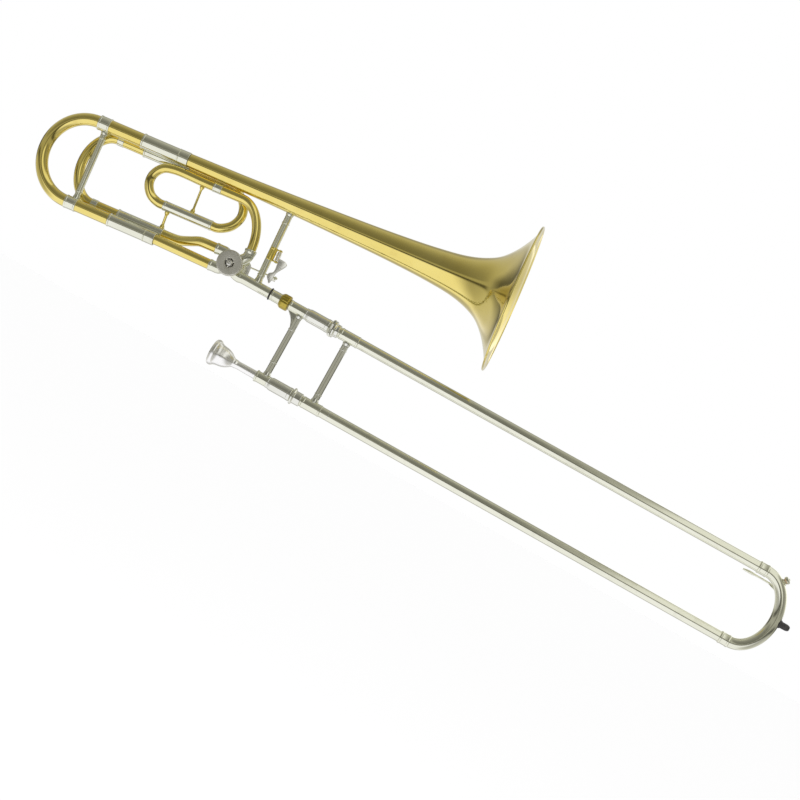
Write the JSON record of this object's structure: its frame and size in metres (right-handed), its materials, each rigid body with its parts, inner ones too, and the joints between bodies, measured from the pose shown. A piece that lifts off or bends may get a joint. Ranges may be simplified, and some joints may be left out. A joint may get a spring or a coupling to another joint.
{
  "type": "trombone",
  "caption": "Tenor trombone with a flared bell, hand slide, rotary valve with F loop and thumb lever, tuning slides, water key and mouthpiece.",
  "frame": {"origin": "axis of the upper hand-slide tube at the nut that locks the slide to the bell section", "axes": "+X along the hand slide away from the mouthpiece, +Z from the slide towards the bell, +Y along the rotary valve's axis to its linkage side"},
  "size_m": [1.1982, 0.2088, 0.3804],
  "materials": {
    "lacquered_brass": "clear lacquered, polished",
    "nut_brass": "polished, darker",
    "nickel_silver": "polished, lacquered",
    "chrome": "polished",
    "satin_nickel": "satin",
    "silver_plate": "bright polished",
    "black_rubber": "matte",
    "cork": "matte"
  },
  "bodies": {
    "bell_section": {"bell": "lacquered_brass", "main_sleeve_top": "nickel_silver", "main_sleeve_bottom": "nickel_silver", "lower_main_tube": "lacquered_brass", "f_sleeve_top": "nickel_silver", "f_sleeve_bottom": "nickel_silver", "f_return_tube": "lacquered_brass", "loop_front_tube": "lacquered_brass", "loop_lower_sleeve": "nickel_silver", "loop_rear_tube": "lacquered_brass", "valve_curve": "lacquered_brass", "loop_brace": "lacquered_brass", "sleeve_brace": "lacquered_brass", "valve_casing": "nickel_silver", "valve_cap": "satin_nickel", "valve_back_plate": "nickel_silver", "knuckle_lower_left": "nickel_silver", "knuckle_upper_left": "nickel_silver", "knuckle_upper_right": "nickel_silver", "neckpipe": "nickel_silver", "receiver_ring": "black_rubber", "bell_receiver": "nickel_silver", "bell_brace": "nickel_silver", "lever_saddle": "lacquered_brass", "lever_spring": "nickel_silver"},
    "main_tuning_slide": {"main_crook": "lacquered_brass", "main_ferrule_top": "nickel_silver", "main_ferrule_bottom": "nickel_silver", "main_slide_brace": "nickel_silver", "main_leg_top": "lacquered_brass", "main_leg_bottom": "lacquered_brass"},
    "f_tuning_slide": {"f_crook": "lacquered_brass", "f_leg_top": "lacquered_brass", "f_leg_bottom": "lacquered_brass"},
    "valve_rotor": {"rotor": "satin_nickel", "stop_arm": "nickel_silver"},
    "trigger": {"thumb_lever": "silver_plate"},
    "trigger_link": {"valve_link": "nickel_silver"},
    "nut": {"lock_nut": "nut_brass"},
    "inner_slide": {"slide_tenon": "nickel_silver", "mouthpiece_receiver": "nickel_silver", "leadpipe": "lacquered_brass", "inner_brace": "chrome", "cork_barrel_upper": "chrome", "cork_barrel_lower": "chrome", "inner_tube_upper": "chrome", "inner_tube_lower": "chrome"},
    "slide_lock": {"slide_lock_ring": "chrome"},
    "outer_slide": {"outer_tube_upper": "nickel_silver", "outer_tube_lower": "nickel_silver", "outer_ring_upper": "chrome", "outer_ring_lower": "chrome", "hand_brace": "chrome", "crown": "nickel_silver", "crown_bumper": "black_rubber", "water_key_post": "nickel_silver"},
    "drain_key": {"water_key": "nickel_silver", "water_key_pad": "cork"},
    "mouthpiece": {"mouthpiece": "silver_plate"}
  },
  "joints": [
    {"name": "slide_swivel", "type": "hinge", "parent": "bell_section", "child": "inner_slide", "pos_m": [0, 0, 0], "axis": [1, 0, 0], "range_deg": [-95, 95]},
    {"name": "lock_nut_turn", "type": "hinge", "parent": "bell_section", "child": "nut", "pos_m": [0, 0, 0], "axis": [1, 0, 0], "range_deg": [0, 360]},
    {"name": "hand_slide", "type": "slide", "parent": "inner_slide", "child": "outer_slide", "axis": [1, 0, 0], "range_m": [0, 0.56]},
    {"name": "slide_lock_turn", "type": "hinge", "parent": "inner_slide", "child": "slide_lock", "pos_m": [0.0719, 0, 0], "axis": [1, 0, 0], "range_deg": [0, 40]},
    {"name": "mouthpiece_pull", "type": "slide", "parent": "inner_slide", "child": "mouthpiece", "axis": [-1, 0, 0], "range_m": [0, 0.05]},
    {"name": "water_key_press", "type": "hinge", "parent": "outer_slide", "child": "drain_key", "pos_m": [0.7642, 0.011, -0.0188], "axis": [0, 1, 0], "range_deg": [0, 12], "stiffness_Nm_per_rad": 0.03, "springref_deg": -28.65},
    {"name": "main_tuning_pull", "type": "slide", "parent": "bell_section", "child": "main_tuning_slide", "axis": [-0.995, 0, -0.1002], "range_m": [0, 0.045]},
    {"name": "f_tuning_pull", "type": "slide", "parent": "bell_section", "child": "f_tuning_slide", "axis": [-0.995, 0, -0.1002], "range_m": [0, 0.04]},
    {"name": "thumb_lever_press", "type": "hinge", "parent": "bell_section", "child": "trigger", "pos_m": [-0.03899, 0, 0.04884], "axis": [-0.067, 0, 0.9978], "range_deg": [0, 32.86], "stiffness_Nm_per_rad": 0.08, "springref_deg": -22.92},
    {"name": "valve_turn", "type": "hinge", "parent": "bell_section", "child": "valve_rotor", "pos_m": [-0.09029, 0, 0.0093], "axis": [0, 1, 0], "range_deg": [-90, 0]},
    {"name": "link_pivot", "type": "hinge", "parent": "trigger", "child": "trigger_link", "pos_m": [-0.03151, 0.01918, 0.02188], "axis": [-0.067, 0, 0.9978], "range_deg": [-33, 0]}
  ],
  "couplings": [
    {"joint": "valve_turn", "follows": "thumb_lever_press", "ratio": -2.738},
    {"joint": "link_pivot", "follows": "thumb_lever_press", "ratio": -1}
  ]
}
